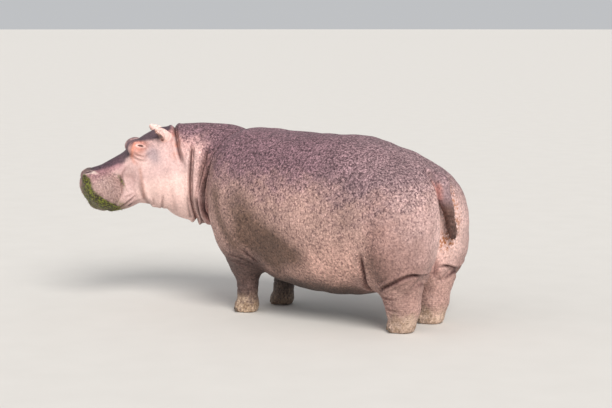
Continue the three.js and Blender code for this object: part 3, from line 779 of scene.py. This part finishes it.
    # Lids, ears and nostrils
    inside, forms, face = folds_at(p, head)[1], face_forms(head)[1], x < -700
    paint(ROSE, forms["lid"] * 0.45 * face)
    ex, ey, ez = to_ear(head)
    ear = step(1.25, 0.95, np.sqrt((ex / 52) ** 2 + (ey / 44) ** 2 + ((ez - 62) / 86) ** 2)) * face
    paint(EAR, ear * 0.95)
    paint(ORANGE, ear * step(10, 34, ex) * 0.35)
    # Painted shade deep in the ear's cup, darkest low down
    paint(EAR_CUP_SHADE, clamp(forms["cup"] * step(95, 40, ez + 20 * fine)) * face * 0.9)
    # Dark lid margin with painted shade at the slit's edge, and pale lid skin with a painted highlight round it
    paint(EYE_EDGE_AND_SHADE, bell(np.maximum(forms["eye"] - 0.95, 0), 0.22) * face * 0.9)
    paint(LID_AND_HIGHLIGHT, bell(forms["eye"] - 1.75, 0.45) * face * 0.6)
    # Painted highlight on the upper side of each nostril rim, and painted shade inside the nostril
    paint(NOSTRIL_RIM_HIGHLIGHT, bell(forms["nostril"] - 1.35, 0.32) * face * step(-0.2, 0.5, normals @ HEAD_W) * 0.75)
    paint(NOSTRIL_SHADE, bell(np.maximum(forms["nostril"] - 0.6, 0), 0.3) * face * 0.85)

    # Plant juice on the lips and behind the pad
    side_on = step(30, 130, beyond)
    lip = step(-16, 14, u - on_line(LIP_EDGE, w) + 1.2 * ragged) * step(0, -28, w + ragged - mix(-165, -34, side_on))
    edge = bell(u - 372 - 0.2 * (w + 210), 11) * bell(w + 195, 55)
    green = lip * (0.8 + 2.4 * wob + 0.6 * side_on) + 0.8 * edge * (1 + 2 * wob) + 0.6 * spot(u - 440, w + 385, 45)
    green = clamp(green) * on_head
    paint(LEAF_GREEN, green * 0.95)

    # Tail: dusky below, with a rosy edge and rusty specks beside it
    away = tail_field(p)
    tail = step(22, 2, away) * step(1210, 1300, x)
    paint(graded(BACK_REAR, TAIL_LOW, step(1000, 880, z)), tail * 0.95)
    rosy = step(34, 14, away) * bell(y + 88, 10) * step(900, 960, z) * step(1150, 1120, z)
    paint(TAIL_EDGE, rosy * step(1230, 1290, x) * 0.8)
    rust = bell(np.abs(y - 30) - 75, 48) * bell(z - 850, 190) + bell(y - 50, 70) * bell(z - 650, 60)
    rust = clamp(rust * step(1220, 1300, x) * (1 - tail) * (1.1 + 2.0 * blotch))

    # Painted shade in the depths of the folds, and a painted shadow along the shoulder fold
    paint(FOLD_SHADE, inside**1.3 * 0.95)
    shoulder = streak(SHOULDER_LINE, x, z, 15) * step(60, 120, out) * step(-200, -400, x)
    paint(FOLD_SHADOW, shoulder * step(1400, 1300, z) * 0.85)
    # How strongly the grain shows, with its painted highlights and painted shade
    grain_and_painted_light = (0.55 + 0.45 * back) * (1 - 0.75 * on_head) * (1 - 0.6 * neck) + 0.05 * hood + 0.3 * pad
    grain_and_painted_light = clamp(grain_and_painted_light * (1 - 0.4 * step(1060, 1200, x) * (1 - back)))
    return colour, dict(grain_and_painted_light=grain_and_painted_light, fold=inside, dust=dusty, green=green, rust=rust)


skin_colour, skin_masks = markings(skin_points, skin_normals)


# ---- Materials
class Nodes:
    def __init__(self, name):
        self.material = bpy.data.materials.new(name)
        self.material.use_nodes = True
        self.tree = self.material.node_tree
        self.tree.nodes.clear()
        out = self.tree.nodes.new("ShaderNodeOutputMaterial")
        self.shader = self.tree.nodes.new("ShaderNodeBsdfPrincipled")
        self.tree.links.new(self.shader.outputs[0], out.inputs["Surface"])
        self.place = self.node("TexCoord", "Object")

    def set(self, socket, value):
        if isinstance(value, bpy.types.NodeSocket):
            self.tree.links.new(value, socket)
        elif value is not None:
            socket.default_value = value

    def node(self, kind, out=0, props=(), **inputs):
        """Adds a node. Inputs are given by name, or as i0, i1, ... by number."""
        n = self.tree.nodes.new("ShaderNode" + kind)
        for key, value in dict(props).items():
            setattr(n, key, value)
        for key, value in inputs.items():
            self.set(n.inputs[int(key[1:]) if key[1:].isdigit() else key.replace("_", " ")], value)
        return n.outputs[out]

    def math(self, operation, a, b=0.0, c=0.0, clamp=False):
        return self.node("Math", 0, dict(operation=operation, use_clamp=clamp), i0=a, i1=b, i2=c)

    def times(self, a, b, clamp=False):
        return self.math("MULTIPLY", a, b, clamp=clamp)

    def sum(self, a, b, c):
        """a times b, plus c."""
        return self.math("MULTIPLY_ADD", a, b, c)

    def noise(self, scale, detail=2.0, rough=0.5, place=None, distortion=0.0, out=0):
        inputs = dict(Scale=scale, Detail=detail, Roughness=rough, Distortion=distortion)
        return self.node("TexNoise", out, Vector=place or self.place, **inputs)

    def ramp(self, value, lo, hi, to_lo=0.0, to_hi=1.0):
        inputs = dict(Value=value, From_Min=lo, From_Max=hi, To_Min=to_lo, To_Max=to_hi)
        return self.node("MapRange", 0, dict(interpolation_type="SMOOTHSTEP"), **inputs)

    def blend(self, a, b, share, how="MIX"):
        a, b = (linear(x) if isinstance(x, str) else x for x in (a, b))
        a, b = (x if isinstance(x, bpy.types.NodeSocket) else (*x, 1) for x in (a, b))
        return self.node("Mix", 2, dict(data_type="RGBA", blend_type=how), i0=share, i6=a, i7=b)

    def tinted(self, colour, factor, share):
        return self.blend(colour, self.blend(colour, factor, 1.0, "MULTIPLY"), share)

    def attribute(self, name, out="Fac"):
        return self.node("Attribute", out, dict(attribute_name=name))

    def stretched(self, scale):
        return self.node("Mapping", Vector=self.place, Scale=scale)

    def bump(self, height, distance, strength=1.0, normal=None):
        return self.node("Bump", Height=height, Distance=distance, Strength=strength, Normal=normal)

    def finish(self, **sockets):
        for key, value in sockets.items():
            self.set(self.shader.inputs[key.replace("_", " ")], value)
        return self.material


def hide_material():
    m = Nodes("hide")
    grain_and_painted_light, fold, green = m.attribute("grain_and_painted_light"), m.attribute("fold"), m.attribute("green")
    colour = m.attribute("tint", "Color")

    # Colour: slow mottling, and grains with pale tops as painted highlights, and dark pits and fine wrinkle lines as
    # painted shade
    slow = m.ramp(m.noise(2.4, 4, 0.6, m.stretched((2.6, 2.6, 1.0))), 0.3, 0.7, 0.84, 1.14)
    colour = m.blend(colour, m.node("CombineColor", Red=slow, Green=slow, Blue=slow), 1.0, "MULTIPLY")
    drawn = m.stretched((1.2, 1.2, 0.8))
    wander = m.noise(40, out=1)
    bent = m.node("VectorMath", 0, dict(operation="MULTIPLY_ADD"), i0=wander, i1=(0.01,) * 3, i2=m.place)
    pits = m.ramp(m.node("TexVoronoi", Vector=bent, Scale=66), 0.38, 0.62)
    speck = m.ramp(m.noise(54, 4, 0.62, drawn), 0.5, 0.4)
    dark = m.times(m.sum(pits, 0.55, m.times(speck, 0.75)), m.sum(grain_and_painted_light, 0.95, 0.1), clamp=True)
    colour = m.tinted(colour, (0.24, 0.19, 0.22), dark)
    colour = m.tinted(colour, (1.62,) * 3, m.times(m.ramp(m.noise(50, 4, 0.62), 0.5, 0.62), m.sum(grain_and_painted_light, 0.72, 0.14)))
    thread = m.math("ABSOLUTE", m.math("SUBTRACT", m.noise(19, 4, 0.6, drawn, 0.6), 0.5))
    colour = m.tinted(colour, (0.4, 0.34, 0.36), m.times(m.ramp(thread, 0.022, 0.0), m.times(grain_and_painted_light, 0.5)))

    # Rust, dust and leaf juice
    rust = m.times(m.attribute("rust"), m.ramp(m.noise(44, 5, 0.7), 0.46, 0.6), clamp=True)
    dirt = m.times(m.attribute("dust"), m.ramp(m.noise(22, 5, 0.7), 0.45, 0.6, 0, 0.75))
    leaf = m.times(green, m.ramp(m.noise(54, 5, 0.75), 0.48, 0.56, 0, 0.85))
    chewed = m.times(green, m.ramp(m.noise(90, 4, 0.7), 0.5, 0.62, 0, 0.7))
    for code, share in (("a4622f", rust), ("7d6146", dirt), ("7d8426", leaf), ("1f1c08", chewed)):
        colour = m.blend(colour, code, share)

    # Relief: creases, pebbles, fine grain and parallel wrinkles
    height = m.times(m.ramp(thread, 0.0, 0.04), m.sum(grain_and_painted_light, 0.25, 0.18))
    height = m.sum(pits, m.sum(grain_and_painted_light, -0.5, -0.12), height)
    height = m.sum(speck, m.sum(grain_and_painted_light, -0.5, -0.1), height)
    height = m.sum(m.noise(150, 4, 0.65), 0.3, height)
    wave = dict(Scale=1.0, Distortion=3.2, Detail=3.0, Detail_Scale=1.6, Detail_Roughness=0.6)
    lines = m.node("TexWave", Vector=m.attribute("across", "Vector"), **wave)
    height = m.sum(lines, m.times(m.attribute("lined"), 0.6), height)
    normal = m.bump(height, 0.0035, 0.8, m.bump(m.noise(11, 4, 0.6), 0.02, 0.5))
    rough = m.math("ADD", m.sum(m.noise(45, 3), 0.3, 0.42), m.times(fold, 0.2))
    m.shader.inputs["Specular IOR Level"].default_value = 0.45
    return m.finish(Base_Color=colour, Roughness=rough, Normal=normal)


def eye_material():
    """Pupil, brown iris and a dark edge, under a wet coat."""
    m = Nodes("eyeball")
    away = m.attribute("from_axis")
    colour = m.blend("3b1d12", "8d6f66", m.ramp(away, 0.62, 0.8))
    fibres = m.ramp(m.noise(420, 3), 0.35, 0.65, 0.0, 0.5)
    colour = m.blend(colour, "5a3322", fibres)
    colour = m.blend("070505", colour, m.ramp(away, 0.26, 0.32))
    m.shader.inputs["Coat Weight"].default_value = 1.0
    m.shader.inputs["Coat Roughness"].default_value = 0.03
    return m.finish(Base_Color=colour, Roughness=m.sum(fibres, 0.2, 0.12))


def nail_material():
    m = Nodes("nail_horn")
    band = m.noise(90, 4, 0.6, m.stretched((1, 1, 0.35)))
    colour = m.blend("3d312b", "8a7663", m.ramp(band, 0.35, 0.7))
    colour = m.blend(colour, "9c8163", m.ramp(m.noise(40, 4, 0.7), 0.5, 0.68, 0, 0.6))
    return m.finish(Base_Color=colour, Roughness=m.ramp(band, 0.2, 0.8, 0.4, 0.75), Normal=m.bump(band, 0.002, 0.6))


def hair_material(name, dark, light):
    m = Nodes(name)
    shade = m.ramp(m.noise(160, 2), 0.3, 0.7)
    return m.finish(Base_Color=m.blend(dark, light, shade), Roughness=m.ramp(shade, 0, 1, 0.45, 0.6))


# ---- Pieces
def piece(name, points, faces, material, nodes=()):
    mesh = bpy.data.meshes.new(name)
    mesh.from_pydata(((points + BODY_OFFSET) / 1000).tolist(), [], faces)
    mesh.polygons.foreach_set("use_smooth", [True] * len(mesh.polygons))
    mesh.materials.append(material)
    obj = bpy.data.objects.new(name, mesh)
    scene.collection.objects.link(obj)
    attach(obj, "root")
    if nodes:
        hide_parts(*nodes)
    return obj


def store(obj, name, values, kind="FLOAT"):
    layer = obj.data.attributes.new(name, kind, "POINT")
    values = np.asarray(values, np.float32)
    layer.data.foreach_set({"FLOAT": "value", "FLOAT_COLOR": "color", "FLOAT_VECTOR": "vector"}[kind], values.ravel())


def fine_lines(points):
    """Where fine parallel wrinkles lie, and places whose first number grows across them."""
    x, y, z = p = columns(points)
    u, _, w = to_head(p)
    on_head = step(-700, -800, x)
    neck = step(-120, -170, u) * step(-430, -540, x)
    throat = step(-250, -380, w) * step(330, 120, u) * on_head
    corner = spot(u - 330, w + 340, 75) * on_head
    shin = step(395, 330, z) * step(20, 90, z)
    elbow = spot(x + 170, z - 500, 130)
    lined = 0.8 * neck + 0.5 * throat + 0.8 * corner + 0.5 * shin + 0.8 * step(0.1, 0.5, elbow) * step(402, 440, z)
    across = np.where(elbow > 0.08, (x * 0.55 + z * 0.83, x * 0.1, y * 0.1), (u * 0.9, z * 0.05, y * 0.05))
    across = np.where(z < 400, (z, x * 0.15, y * 0.15), across)
    return clamp(lined), across.T * 0.02


FLESH = "head neck trunk tail leg_front_left leg_front_right leg_hind_left leg_hind_right ear_left ear_right".split()
skin = piece("skin", skin_points, skin_faces.tolist(), hide_material(), FLESH)
store(skin, "tint", np.column_stack([skin_colour, np.ones(len(skin_colour))]), "FLOAT_COLOR")
skin_masks["lined"], skin_across = fine_lines(skin_points)
for key, value in skin_masks.items():
    store(skin, key, value)
store(skin, "across", skin_across, "FLOAT_VECTOR")


def rings(rows, width):
    """Squares between rings of points that follow each other."""
    a = np.arange(rows * width - width)
    b = np.where(a % width < width - 1, a + 1, a + 1 - width)
    return np.stack([a, b, b + width, a + width], 1).tolist()


def capped(rows, width):
    """Rings with a fan at each end, round two more points that follow the last ring."""
    faces, low = rings(rows, width), rows * width
    for j in range(width):
        k = (j + 1) % width
        faces += [(low, k, j), (low + 1, low - width + j, low - width + k)]
    return faces


EYE_RINGS = 20
EYE_SIDES = 32
CORNEA_BULGE = 0.055


def ball():
    """A sphere of radius 1 round its z axis, with its faces turned inwards."""
    t = math.pi * np.arange(1, EYE_RINGS)[:, None] / EYE_RINGS
    s = 2 * math.pi * np.arange(EYE_SIDES) / EYE_SIDES
    points = np.stack([np.sin(t) * np.cos(s), np.sin(t) * np.sin(s), np.cos(t) + 0 * s], -1).reshape(-1, 3)
    return np.vstack([points, (0, 0, 1), (0, 0, -1)]), capped(EYE_RINGS - 1, EYE_SIDES)


wet_eye = eye_material()
ball_points, ball_faces = ball()
from_axis = np.hypot(ball_points[:, 0], ball_points[:, 1])
is_front = ball_points[:, 2] > 0
cornea = 1 + CORNEA_BULGE * step(0.72, 0.3, from_axis) * is_front
for side, name in ((1, "left"), (-1, "right")):
    h = EYE_SEAT + EYE_RADIUS * cornea[:, None] * ball_points @ np.array([EYE_A, EYE_B, EYE_C])
    points = HEAD_ORIGIN + h * (1, side, 1) @ np.array([HEAD_U, HEAD_V, HEAD_W])
    faces = [f[::side] for f in ball_faces]
    eye = piece(f"eyeball_{name}", points, faces, wet_eye, [f"eye_{name}"])
    store(eye, "from_axis", np.where(is_front, from_axis, 1.0))

NAIL_NAMES = ("inner", "front_inner", "front_outer", "outer")
NAIL_HALF_HEIGHT = 19
NAIL_HALF_WIDTH = 17.5
NAIL_OUT = 12.5
NAIL_CENTRE = 28.0
NAIL_ROWS = 9
NAIL_STEPS = 12


def nail_shape():
    """A blunt hoof-like nail: x out of the toe, y across, z up, flat at the back."""
    points = []
    for t in np.linspace(0, 1, NAIL_ROWS + 1):
        half = NAIL_HALF_WIDTH * (1 - 0.35 * t**2.5) * (1 - 0.12 * (1 - t) ** 3)
        out = NAIL_OUT * (1 - t**2.2 * 0.72) * (0.72 + 0.28 * min(1, t * 5))
        for a in math.pi * np.linspace(-0.5, 0.5, NAIL_STEPS + 1):
            bulge = math.copysign(abs(math.sin(a)) ** 0.8, a)
            points.append((out * math.cos(a) ** 0.6, half * bulge, mix(-1, 1, t) * NAIL_HALF_HEIGHT))
    points += [(4, 0, -NAIL_HALF_HEIGHT), (2, 0, NAIL_HALF_HEIGHT)]
    return np.array(points), capped(NAIL_ROWS + 1, NAIL_STEPS + 1)


horn = nail_material()
nail_points, nail_faces = nail_shape()
for row, (feet, sole, *_) in LEGS.items():
    for name, foot in feet.items():
        points, faces = [], []
        for k, s in map(cos_sin, TOE_ANGLES):
            out = np.array([-k, s * math.copysign(1, foot[1]), 0])
            base = np.array([*foot, NAIL_CENTRE]) + out * (sole + 5.5)
            faces += [tuple(i + len(points) * len(nail_points) for i in f) for f in nail_faces]
            points.append(base + nail_points @ np.array([out, (-out[1], out[0], 0), (0, 0, 1)]))
        nodes = [f"nail_{row}_{name}_{n}" for n in NAIL_NAMES]
        piece(f"nails_{row}_{name}", np.vstack(points), faces, horn, nodes)


# ---- Bristles
rng = np.random.default_rng(41)
HAIR_RINGS = 5
HAIR_SIDES = 4
HAIR_ROOT = 1.5
PATCH = 0.003


def roots(weight, count):
    """Random places where the weight is high, and the normals there."""
    a, b, c = (skin_points[skin_faces[:, k]] for k in range(3))
    cross = np.cross(b - a, c - a)
    share = size_of(cross) * weight[skin_faces].mean(1)
    picked = rng.choice(len(skin_faces), count, p=share / share.sum())
    s, t = rng.random(count), rng.random(count)
    s, t = np.where(s + t > 1, 1 - s, s), np.where(s + t > 1, 1 - t, t)
    place = a[picked] + (b - a)[picked] * s[:, None] + (c - a)[picked] * t[:, None]
    return place, unit(cross[picked])


def bristles(name, weight, count, lengths, radius, lie, bend, material):
    """Hairs as closed, bent spikes, each with a small patch of its own on the skin rolled out."""
    root, out = roots(weight, count)
    lie = np.asarray(lie, float) + rng.normal(0, 0.35, (count, 3))
    along = unit(lie - (lie * out).sum(1)[:, None] * out)
    across = np.cross(out, along)
    length = rng.uniform(*lengths, count)[:, None]
    bend = bend * rng.uniform(0.6, 1.3, count)[:, None]
    points = []
    for t in np.linspace(0, 1, HAIR_RINGS):
        middle = root - HAIR_ROOT * out + length * (out * (t - 0.45 * bend * t * t) + along * bend * t * t)
        for j in range(HAIR_SIDES):
            k, s = cos_sin(360 * j / HAIR_SIDES)
            points.append(middle + radius * (1 - 0.8 * t) * (k * across + s * along))
    each = len(points)
    ends = [range(each - HAIR_SIDES, each), range(HAIR_SIDES)[::-1]]
    one = np.array([*rings(HAIR_RINGS, HAIR_SIDES), *ends])[:, ::-1]
    faces = (one + np.arange(count)[:, None, None] * each).reshape(-1, 4)
    obj = piece(name, np.stack(points, 1).reshape(-1, 3), faces.tolist(), material)
    t, j = np.divmod(np.arange(each), HAIR_SIDES)
    patch = np.stack([j / (HAIR_SIDES - 1), t / (HAIR_RINGS - 1)], 1) * PATCH
    x, y, z = columns(root)
    rolled_out = np.stack([(x + 1620) / 3100, 0.5 + np.arctan2(y, z - 880) / (2 * math.pi)], 1)
    uv = (rolled_out[:, None] + patch).reshape(-1, 2)
    layer = obj.data.uv_layers.new(name="OFBake")
    layer.data.foreach_set("uv", uv[faces.ravel()].astype(np.float32).ravel())


skin_xyz = columns(skin_points)
skin_head = to_head(skin_xyz)
skin_ear = to_ear(skin_head)
on_face = skin_xyz[0] < -900
muzzle = step(370, 480, skin_head[0]) * step(-50, -90, skin_head[2]) * on_face
ear_rim = bell(ear_cup(skin_ear) - 3, 7) * step(20, 40, skin_ear[2]) * step(40, 0, ear_field(skin_head)) * on_face
tail_end = step(14, 4, tail_field(skin_xyz)) * step(900, 760, skin_xyz[2]) * (skin_xyz[0] > 1250)
pale = hair_material("bristle_pale", "6b5238", "b89a78")
rusty = hair_material("hair_rust", "6e4536", "c08f78")
dark = hair_material("bristle_dark", "1d1512", "4a352b")
bristles("bristles_muzzle", muzzle, 420, (9, 20), 0.9, -HEAD_W - 0.3 * HEAD_U, 0.5, pale)
bristles("hair_ears", ear_rim, 260, (8, 18), 0.6, HEAD_W + 0.4 * HEAD_U, 0.6, rusty)
bristles("bristles_tail", tail_end, 260, (14, 36), 1.1, (0, 0, -1), 0.9, dark)


# ---- Camera, light and floor
VIEW_AZIMUTH = 33
VIEW_ELEVATION = 7.2
VIEW_DISTANCE = 11.0
VIEW_TARGET = np.array([0.309, -0.004, 0.871])
LENS = 85.1
FLOOR_RADIUS = 400


def add_to_scene(obj, toward, axis, up):
    obj.rotation_euler = Vector(toward).to_track_quat(axis, up).to_euler()
    scene.collection.objects.link(obj)


(around_cos, around_sin), (up_cos, up_sin) = cos_sin(VIEW_AZIMUTH), cos_sin(VIEW_ELEVATION)
to_camera = np.array([around_sin * up_cos, -around_cos * up_cos, up_sin])
lens = bpy.data.cameras.new("camera")
lens.lens, lens.sensor_width, lens.clip_end = LENS, 36, 1000
camera = bpy.data.objects.new("camera", lens)
camera.location = VIEW_TARGET + to_camera * VIEW_DISTANCE
add_to_scene(camera, -to_camera, "-Z", "Y")
scene.camera = camera

# Suns: where each stands, its width in degrees, its strength and its colour
for name, toward, width, strength, tone in (
    ("key", (0.62, -0.5, 0.62), 30, 3.3, (1.0, 0.965, 0.92)),
    ("fill", (-0.5, -0.75, 0.5), 60, 0.5, (1.0, 0.98, 0.97)),
):
    lamp = bpy.data.lights.new(name, "SUN")
    lamp.angle, lamp.energy, lamp.color = math.radians(width), strength, tone
    add_to_scene(bpy.data.objects.new(name, lamp), toward, "Z", "Y")

world = bpy.data.worlds.new("studio")
world.use_nodes = True
sky = world.node_tree.nodes["Background"].inputs
sky[0].default_value, sky[1].default_value = (0.95, 0.97, 1.0, 1), 0.55
scene.world = world
scene.view_settings.view_transform = "Standard"

plain = Nodes("floor")
plain.finish(Base_Color=plain.blend((0.62, 0.6, 0.57), (0.66, 0.64, 0.61), plain.noise(3, 2)), Roughness=0.9)
bpy.ops.mesh.primitive_circle_add(vertices=64, radius=FLOOR_RADIUS, fill_type="NGON", location=(0, 0, -0.001))
floor = bpy.context.object
floor.name = "floor"
floor.data.materials.append(plain.material)
